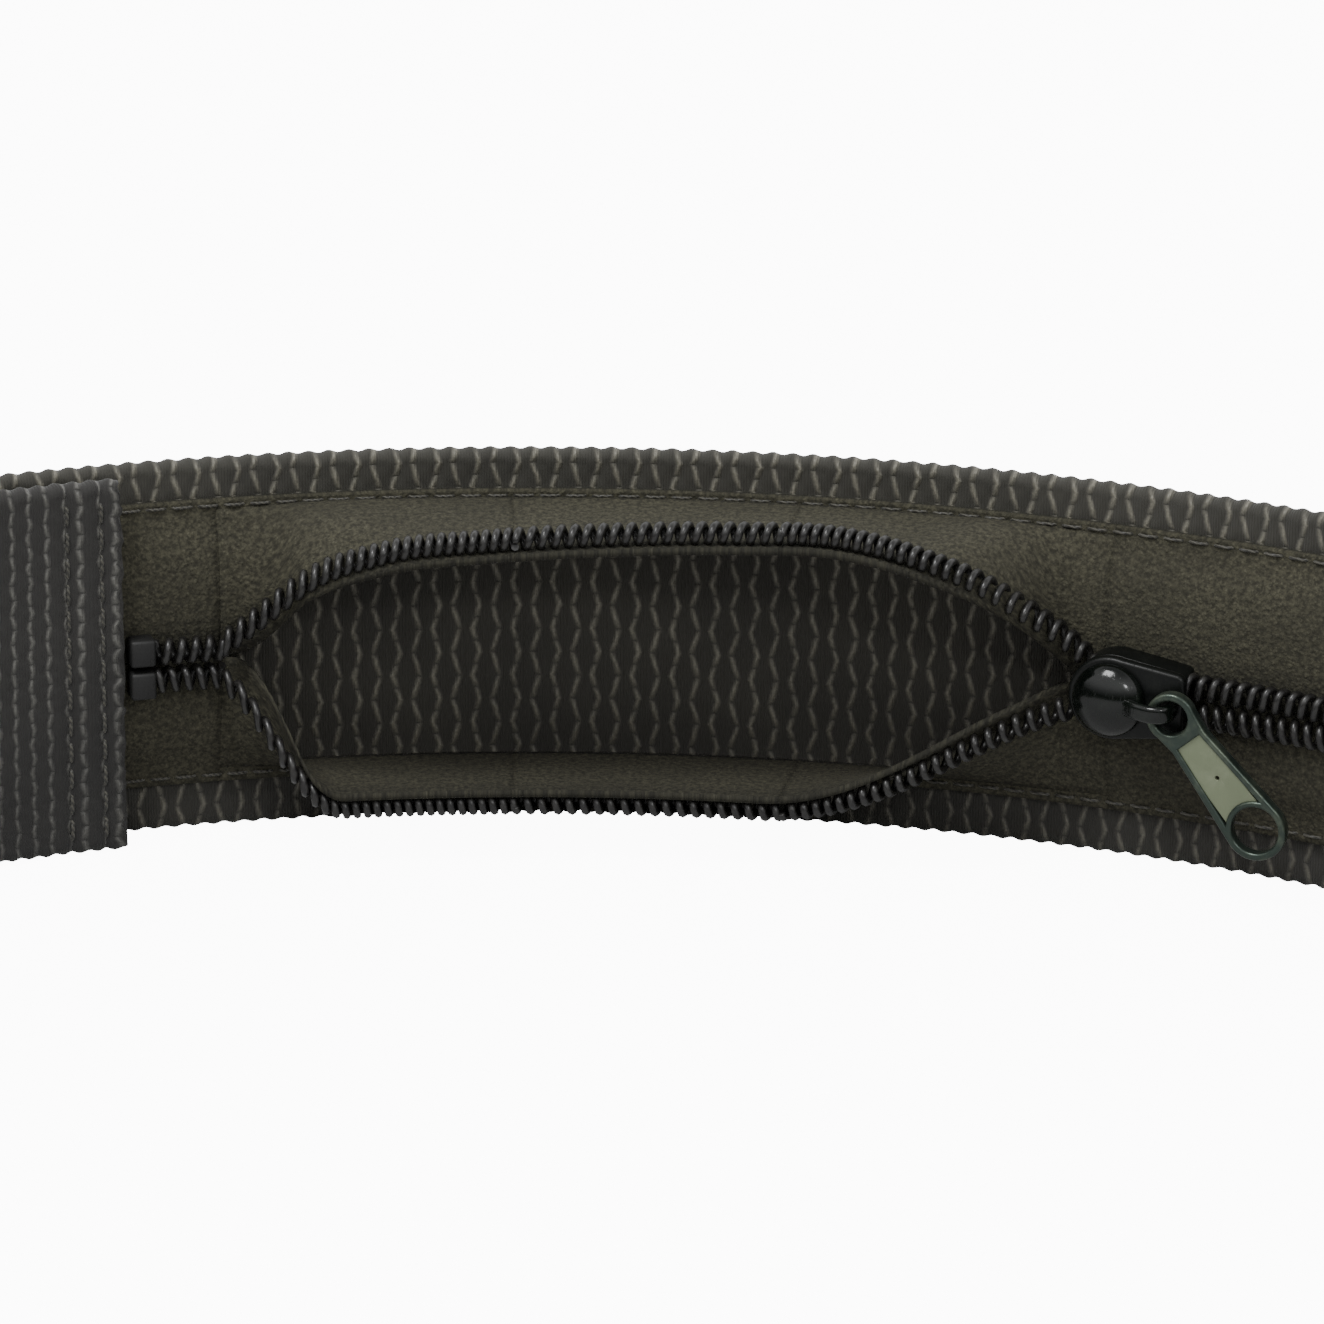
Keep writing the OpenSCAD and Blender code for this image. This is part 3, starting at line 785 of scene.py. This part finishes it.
# ---------------------------------------------------------------- the zip
def make_tapes():
    """The sewn tape on each side. Where the mouth is open only its sewn edge stays on the strap."""
    for side, name in ((1, "upper_tape"), (-1, "lower_tape")):
        edge, fold = (UPPER_EDGE, UPPER_FOLD) if side > 0 else (LOWER_EDGE, LOWER_FOLD)
        full = closed_section(side)
        hem = [(HEM_R, edge + (fold - edge) * t - side * 0.15 * MM * t) for t in np.linspace(0, 1, 5)]
        tubes = []
        for start, end, line in ((ZIP_START, MOUTH_FROM, full), (MOUTH_FROM, MOUTH_TO, hem),
                                 (MOUTH_TO, COVER_TO - 1, full)):
            angles = steps(start, end, 0.4)
            tubes.append(sheet_tube(angles, same_section(angles, line)))
        piece = skin(name, tubes, TAPE_CLOTH)
        finish_piece(piece, "belt", [name])


def make_chain():
    """Both rows of coil where the zip is closed for good, or waits beside the fold."""
    for side, name in ((1, "upper_coil"), (-1, "lower_coil")):
        chain = straight_coil(side, MOUTH_TO + 0.7, CHAIN_END)
        start = straight_coil(side, FOLD_EDGE + 1.3, MOUTH_FROM)
        piece = skin(name, [chain, start], COIL_NYLON)
        finish_piece(piece, "belt", [name])


def upper_route(angles):
    """Middle of the upper coil along the open mouth, as [radius, height], from listed points."""
    knots = np.array([
        (-13.5, 145.1, 20.0), (-12.2, 143.5, 23.0), (-10.2, 139.0, 28.6), (-7.5, 136.2, 31.8),
        (-3.0, 135.3, 33.2), (2.0, 135.1, 34.0), (7.5, 135.0, 34.6), (10.8, 135.0, 34.8),
        (13.1, 135.1, 34.1), (15.0, 135.6, 32.8), (16.9, 137.6, 30.5), (18.4, 140.8, 27.2),
        (19.8, 144.0, 23.6), (21.2, 145.1, 20.0)])
    return MM * between_knots(knots[:, 1:], knots[:, 0], angles)


def lower_route(angles):
    """Middle of the lower coil along the open mouth: its tape turns about the sewn edge."""
    share = np.clip(np.minimum((21.0 - angles) / 13.0, (angles + 13.5) / 4.5), 0, 1)
    theta = np.radians(87) * np.sin(np.pi / 2 * share)
    reach = CHAIN - COIL_HALF_W - LOWER_FOLD
    radius = LOOP_IN - 1.3 * MM - reach * np.sin(theta) - 2.6 * MM * np.cos(theta)
    height = LOWER_FOLD + reach * np.cos(theta) - 1.3 * MM * np.sin(theta)
    return np.stack([radius, height], -1)


def flap_shape(side, angles):
    """Where an open flap lies: its coil's middle, its direction and its front, and the tape's section."""
    fold = np.array([HEM_R - 0.2 * MM, UPPER_FOLD if side > 0 else LOWER_FOLD])
    width = abs(fold[1] - CHAIN)
    coil = (upper_route if side > 0 else lower_route)(angles)
    run = unit(coil + np.array([1.3 * MM, 0]) - fold)
    front = np.stack([side * run[:, 1], -side * run[:, 0]], -1)
    end = coil - front * (COIL_HALF_T + TAPE_T / 2) + run * COIL_HALF_W
    straight = np.linalg.norm(end - fold, axis=-1, keepdims=True)
    slack = SLACK_SHARE * np.sqrt(np.maximum(0, 3 / 8 * straight * (width - straight)))
    t = np.linspace(0, 1, 15)[None, :, None]
    line = fold + (end - fold)[:, None] * t + front[:, None] * (4 * slack[:, None] * t * (1 - t))
    opened = ease(np.minimum(angles - MOUTH_FROM, MOUTH_TO - angles) / MATCH)[:, None, None]
    return coil, run, front, line * opened + closed_section(side)[None, 3:] * (1 - opened)


def in_plan(angles, radial):
    """Turns [radius, height] directions into directions in space."""
    flat = polar(angles, 1.0, 0.0) * radial[:, :1]
    flat[:, 2] = radial[:, 1]
    return flat


def make_flaps():
    """The open stretch of the zip: tape and coil stand out from the strap on both sides of the mouth."""
    for side, word in ((1, "upper"), (-1, "lower")):
        for number, (start, end) in enumerate(zip(CUTS, CUTS[1:]), 1):
            angles = steps(start, end, 0.3)
            coil, run, front, line = flap_shape(side, angles)
            hem = UPPER_EDGE - UPPER_FOLD if side > 0 else LOWER_FOLD - LOWER_EDGE
            tape = skin(f"mouth_{word}_tape_{number}", [sheet_tube(angles, line, first=hem)], TAPE_CLOTH)
            finish_piece(tape, "belt", [f"mouth_{word}_tape"])
            middle_line = polar(angles, coil[:, 0], coil[:, 1])
            run_length = measured(middle_line, 0)[-1]
            turns = run_length / (math.radians(PITCH) * CHAIN_R)
            rows = wire_coil(middle_line, in_plan(angles, run), in_plan(angles, front), turns, 0.0)
            wire = skin(f"mouth_{word}_coil_{number}", [rows], COIL_NYLON)
            finish_piece(wire, "belt", [f"mouth_{word}_coil"])
            middle = (start + end) / 2
            inward = -Vector(polar(middle, 1.0, 0.0))
            anchor = polar(middle, FLATTEN_TO, 29 * MM if side > 0 else 11 * MM)
            for piece in (tape, wire):
                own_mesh(piece)


def make_closing_stretch():
    """The stretch of zip that closes behind the slider. It lies inside the closed zip at rest, thinner."""
    for side, word in ((1, "upper"), (-1, "lower")):
        angles = steps(SLIDER_AT - NOSE_TURN, SLIDER_AT + ZIP_TRAVEL + OVERLAP, 0.4)
        line = same_section(angles, closed_section(side, inset=0.9 * MM))
        tape = skin(f"closing_{word}_tape", [sheet_tube(angles, line, 0.4 * MM)], TAPE_CLOTH)
        finish_piece(tape, "slider", [f"mouth_{word}_tape"])
        rows = straight_coil(side, SLIDER_AT, SLIDER_AT + ZIP_TRAVEL, 0.03 * MM)
        wire = skin(f"closing_{word}_coil", [rows], COIL_NYLON)
        finish_piece(wire, "slider", [f"mouth_{word}_coil"])


def stitch(centre, ahead, out, length, radius=0.15 * MM):
    """One stitch: a short round thread that rises from the cloth, lies on it and goes back in."""
    t = np.linspace(-1, 1, 7)
    lie = centre + ahead * (t * length / 2)[:, None] + out * (radius * (1 - 1.9 * t**4))[:, None]
    beside = np.cross(ahead, out)
    spin = 2 * np.pi * np.arange(6) / 6
    ring = np.cos(spin)[:, None] * beside + np.sin(spin)[:, None] * out
    return lie[:, None] + ring[None] * radius, np.zeros(2)


def make_stitching():
    """Every row of stitches, each stitch a thread of its own."""
    for name, height in (("upper_stitching", UPPER_SEAM), ("lower_stitching", LOWER_SEAM)):
        tubes = []
        for angle in np.arange(FOLD_EDGE + 0.7, COVER_FROM - 0.5, 1.0):
            out = -polar(angle, 1.0, 0.0)
            ahead = polar(angle + 90, 1.0, 0.0)
            tubes.append(stitch(polar(angle, HEM_R - TAPE_T / 2, height), ahead, out, 2.1 * MM))
        piece = skin(name, tubes, THREAD)
        finish_piece(piece, "belt", [name])

    upright = np.array([0.0, 0.0, 1.0])
    face = RUN_IN - STRAP_T / 2 + 0.05 * MM
    for name, rows, radius, inner in (
            ("fold_stitching", FOLD_ROWS, face + 0.22 * MM, True),
            ("cover_stitching", (COVER_FROM + 0.8, COVER_FROM + 2.2, COVER_TO - 0.8), face, True),
            ("hem_stitching", (TAIL_END + 7.2, TAIL_END + 6.0), TAIL + 3 * STRAP_T / 2, False)):
        tubes = []
        for angle in rows:
            out = polar(angle, -1.0 if inner else 1.0, 0.0)
            for height in np.arange(2.6, 36, 2.7) * MM:
                spot = polar(angle, radius, height + lift(angle))
                tubes.append(stitch(spot, upright, out, 2.2 * MM, 0.18 * MM))
        piece = skin(name, tubes, THREAD)
        finish_piece(piece, "belt", [name])


def make_stops():
    for name in ("top_stops", "bottom_stop"):
        piece = eased_copy(name, name + "_clip", 0.3 * MM, CLIP_METAL)
        finish_piece(piece, "belt", [name])


# ---------------------------------------------------------------- the slider
CAP_FACE = 142.3 * MM                   # radius of the slider's front face from the loop's centre
FOOT = 6.4 * MM                         # from the slider's middle to the bridge's foot
PULL_BACK = 141.7 * MM                  # radius of the pull's back from the loop's centre
EYE_X = 0.6 * MM                        # along the pull, from the bridge's foot
EYE_R = 2.5 * MM
EYE_HOLE_R = 1.7 * MM
RING_X = 14.1 * MM
RING_R = 3.1 * MM
RING_HOLE_R = 2.35 * MM
PULL_T = 1.4 * MM
PULL_DROP = 49.0                        # degrees that the pull hangs below the chain


def shoulder_outline(nose, side, tail_half, tail):
    """The slider plates' edge: round shoulders at the open end, narrower toward the closed chain."""
    points = [(nose * math.cos(a), side * math.sin(a)) for a in np.radians(np.linspace(75, 285, 30))]
    corner = 0.9 * MM
    for y, start in ((-1, -90), (1, 0)):
        points += [(tail - corner + corner * math.cos(a), y * (tail_half - corner) + corner * math.sin(a))
                   for a in np.radians(np.linspace(start, start + 90, 7))]
    return points


def make_slider():
    """Two plates, side rails and a wedge, then the domed cap with its bridge, and the spring inside."""
    plates = []
    for name, radius, depth, bevel in (("front_plate", CAP_FACE + 0.6 * MM, 1.2 * MM, 0.4 * MM),
                                       ("back_plate", 147.85 * MM, 0.9 * MM, 0.35 * MM)):
        edge = shoulder_outline(4.3 * MM, 4.2 * MM, 3.3 * MM, 7.5 * MM)
        plates.append(flat_plate(name, [edge], depth, bevel, PLATE_ENAMEL,
                                 place_face_on(SLIDER_AT, radius, CHAIN)))
    rim = shoulder_outline(4.2 * MM, 4.15 * MM, 3.2 * MM, 7.4 * MM)
    wall = 0.9 * MM
    for side in (-1, 1):
        rail = sorted((x, y) for x, y in rim if y * side > 2.6 * MM and x > -3.0 * MM)
        inner = [(x, y - side * wall) for x, y in reversed(rail)]
        plates.append(flat_plate("rail", [rail + inner], 2.9 * MM, 0.1 * MM, PLATE_ENAMEL,
                                 place_face_on(SLIDER_AT, 144.9 * MM, CHAIN)))
    post = circle(-3.3 * MM, 0, 0.75 * MM, 20)
    plates.append(flat_plate("wedge", [post], 4.6 * MM, 0.1 * MM, PLATE_ENAMEL,
                             place_face_on(SLIDER_AT, 145.3 * MM, CHAIN)))
    body = join("slider_plates", plates)
    finish_piece(body, "slider", ["slider_body"])

    face = place_face_on(SLIDER_AT, CAP_FACE + 0.1 * MM, CHAIN)
    profile = smooth_line(np.array([(3.62, -0.1), (3.66, 0.5), (3.52, 0.95), (3.1, 1.45), (2.3, 1.98),
                                    (1.3, 2.36), (0.5, 2.5), (0.06, 2.53)]) * MM, 44)
    spin = np.linspace(0, 2 * math.pi, 72, endpoint=False)
    rings = np.stack(np.broadcast_arrays(profile[:, :1] * np.cos(spin), profile[:, :1] * np.sin(spin),
                                         profile[:, 1:]), -1)
    dome = skin("slider_dome", [(rings, np.zeros(2))], ENAMEL)
    settle(dome, face)

    bridge = smooth_bar([(0.6, 0, 0.9), (2.3, 0, 1.75), (3.9, 0, 2.6), (5.2, 0, 2.85), (6.2, 0, 2.5),
                         (6.55, 0, 1.5), (6.5, 0, 0.2)], 0.85, 0.5)
    settle(bridge, face)
    cap = join("slider_cap_and_bridge", [dome, bridge])
    finish_piece(cap, "slider", ["slider_cap"])

    spring = eased_copy("lock_spring", "lock_leaf_spring", 0.06 * MM, SPRING_STEEL)
    finish_piece(spring, "slider", ["lock_spring"])


def smooth_bar(knots, half_w, half_t):
    """A bar of oval section that follows knots given in millimetres, in the face-on frame."""
    line = smooth_line(np.array(knots) * MM, 40)
    run = unit(np.gradient(line, axis=0))
    wide = np.broadcast_to([0.0, 1.0, 0.0], run.shape)
    up = np.cross(run, wide)
    spin = 2 * np.pi * np.arange(20) / 20
    over, off = (np.sign(v)[None, :, None] * np.abs(v)[None, :, None] ** 0.6
                 for v in (np.cos(spin), np.sin(spin)))
    rings = line[:, None] + MM * (over * half_w * wide[:, None] + off * half_t * up[:, None])
    return skin("slider_bridge", [(rings, np.zeros(2))], ENAMEL)


def pull_outline():
    """The pull's outer edge: a round eye, sides that widen, and a round ring end."""
    neck_x = EYE_X + 2.9 * MM
    neck = 2.05 * MM
    points = [(EYE_X + EYE_R * math.cos(a), EYE_R * math.sin(a))
              for a in np.radians(np.linspace(70, 290, 28))]
    points += [(neck_x, -neck)]
    points += [(RING_X + RING_R * math.cos(a), RING_R * math.sin(a))
               for a in np.radians(np.linspace(-97, 97, 34))]
    return points + [(neck_x, neck)]


def panel_outline(start, half, ring_gap):
    """The sunk field between the eye and the ring, with its far end curved round the ring."""
    arc = [(RING_X + ring_gap * math.cos(a), ring_gap * math.sin(a))
           for a in np.radians(np.linspace(228, 132, 20))]
    return [(start, -half)] + arc + [(start, half)]


def make_pull():
    """A rim round a thinner panel with one small dimple."""
    hang = (place_face_on(SLIDER_AT, PULL_BACK - PULL_T / 2, CHAIN)
            @ Matrix.Translation((FOOT, 0, 0)) @ Matrix.Rotation(math.radians(-PULL_DROP), 4, "Z"))
    holes = [circle(EYE_X, 0, EYE_HOLE_R), panel_outline(3.5 * MM, 1.4 * MM, 2.95 * MM),
             circle(RING_X, 0, RING_HOLE_R)]
    rim = flat_plate("pull_rim", [pull_outline()] + holes, PULL_T, 0.28 * MM, PULL_RIM, hang)
    dimple = circle(7.9 * MM, 0.1 * MM, 0.22 * MM, 16)
    web = flat_plate("pull_web", [panel_outline(3.2 * MM, 1.8 * MM, 2.7 * MM), dimple],
                     0.8 * MM, 0.06 * MM, PULL_PANEL, hang)
    pull = join("pull_tab_with_ring", [rim, web])
    finish_piece(pull, "pull", ["pull_tab"])


# ---------------------------------------------------------------- the buckle and keeper
def make_buckle():
    for node, name, body, radius in (
            ("buckle_socket", "buckle_socket_shell", "belt", 0.7 * MM),
            ("buckle_plug", "buckle_plug_block", "belt", 0.7 * MM),
            ("upper_arm", "upper_spring_arm", "upper_arm", 0.6 * MM),
            ("lower_arm", "lower_spring_arm", "lower_arm", 0.6 * MM)):
        piece = eased_copy(node, name, radius, BUCKLE_NYLON)
        finish_piece(piece, body, [node])


def make_keeper():
    piece = eased_copy("keeper_loop", "keeper_elastic", 0.4 * MM, ELASTIC)
    finish_piece(piece, "keeper", ["keeper_loop"])


# ---------------------------------------------------------------- floor, light and camera
BACKDROP = 11.0                         # strength of the pale ground that the camera sees


def make_stage():
    """A pale floor, and a bright ceiling above a dim horizon. Both look near white to the camera."""
    bpy.ops.object.select_all(action="DESELECT")
    bpy.ops.mesh.primitive_plane_add(size=6.0, location=(0, 0, -0.2 * MM))
    floor = bpy.context.object
    floor.name = "studio_floor"
    made, g, shader = new_material("pale_floor", 0.9, Emission_Color=(1.0, 1.0, 1.0, 1.0))
    shade = g.noise(object_place(g), 3.0, 2.0)
    g.feed(shader["Base Color"], g.mix(shade, (0.5, 0.5, 0.5, 1), (0.54, 0.54, 0.54, 1)))
    seen = g.node("ShaderNodeLightPath").outputs["Is Camera Ray"]
    g.feed(shader["Emission Strength"], g.math("MULTIPLY", seen, BACKDROP))
    floor.data.materials.append(made)
    world = bpy.data.worlds.new("studio_world")
    bpy.context.scene.world = world
    world.use_nodes = True
    g = Graph(world.node_tree)
    split = g.node("ShaderNodeSeparateXYZ")
    g.feed(split.inputs[0], g.node("ShaderNodeTexCoord").outputs["Generated"])
    ceiling = g.span(split.outputs[2], 0.05, 0.5, 0.16, 1.35)
    ceiling = g.math("MULTIPLY", ceiling, g.span(split.outputs[2], 0.6, 1.0, 1.0, 0.35))
    seen = g.node("ShaderNodeLightPath").outputs["Is Camera Ray"]
    strength = g.math("ADD", g.math("MULTIPLY", ceiling, g.math("SUBTRACT", 1.0, seen)),
                      g.math("MULTIPLY", seen, BACKDROP))
    g.feed(world.node_tree.nodes["Background"].inputs[1], strength)
    world.node_tree.nodes["Background"].inputs[0].default_value = (1.0, 1.0, 1.0, 1)


def area_light(name, location, target, size, power):
    light = bpy.data.lights.new(name, "AREA")
    light.size = size
    light.energy = power
    holder = bpy.data.objects.new(name, light)
    bpy.context.scene.collection.objects.link(holder)
    holder.location = location
    aim = Vector(target) - Vector(location)
    holder.rotation_euler = aim.to_track_quat("-Z", "Y").to_euler()


def make_lights():
    area_light("overhead_softbox", (-0.3, -0.2, 0.9), (0, 0.12, 0.01), 0.35, 8)
    area_light("front_softbox", (0.35, -0.7, 0.55), (0, 0.14, 0.02), 0.12, 1.6)


def make_camera():
    tilt = math.radians(19.3)
    distance = 0.75
    aim_down = 2.05 * MM
    roll = math.radians(0.45)
    target = Vector((9.55 * MM, 147 * MM - aim_down * math.sin(tilt), 19 * MM - aim_down * math.cos(tilt)))
    camera = bpy.data.objects.new("camera", bpy.data.cameras.new("camera"))
    bpy.context.scene.collection.objects.link(camera)
    camera.location = target + distance * Vector((0, -math.cos(tilt), math.sin(tilt)))
    facing = (target - camera.location).to_track_quat("-Z", "Y").to_matrix()
    camera.rotation_euler = (facing @ Matrix.Rotation(roll, 3, "Z")).to_euler()
    camera.data.lens = 207
    camera.data.sensor_width = 36
    camera.data.clip_start = 0.01
    bpy.context.scene.camera = camera


make_camera()
make_stage()
make_lights()
make_strap()
make_fold()
make_tail_and_cover()
make_tapes()
make_chain()
make_flaps()
make_closing_stretch()
make_stitching()
make_stops()
make_slider()
make_pull()
make_buckle()
make_keeper()
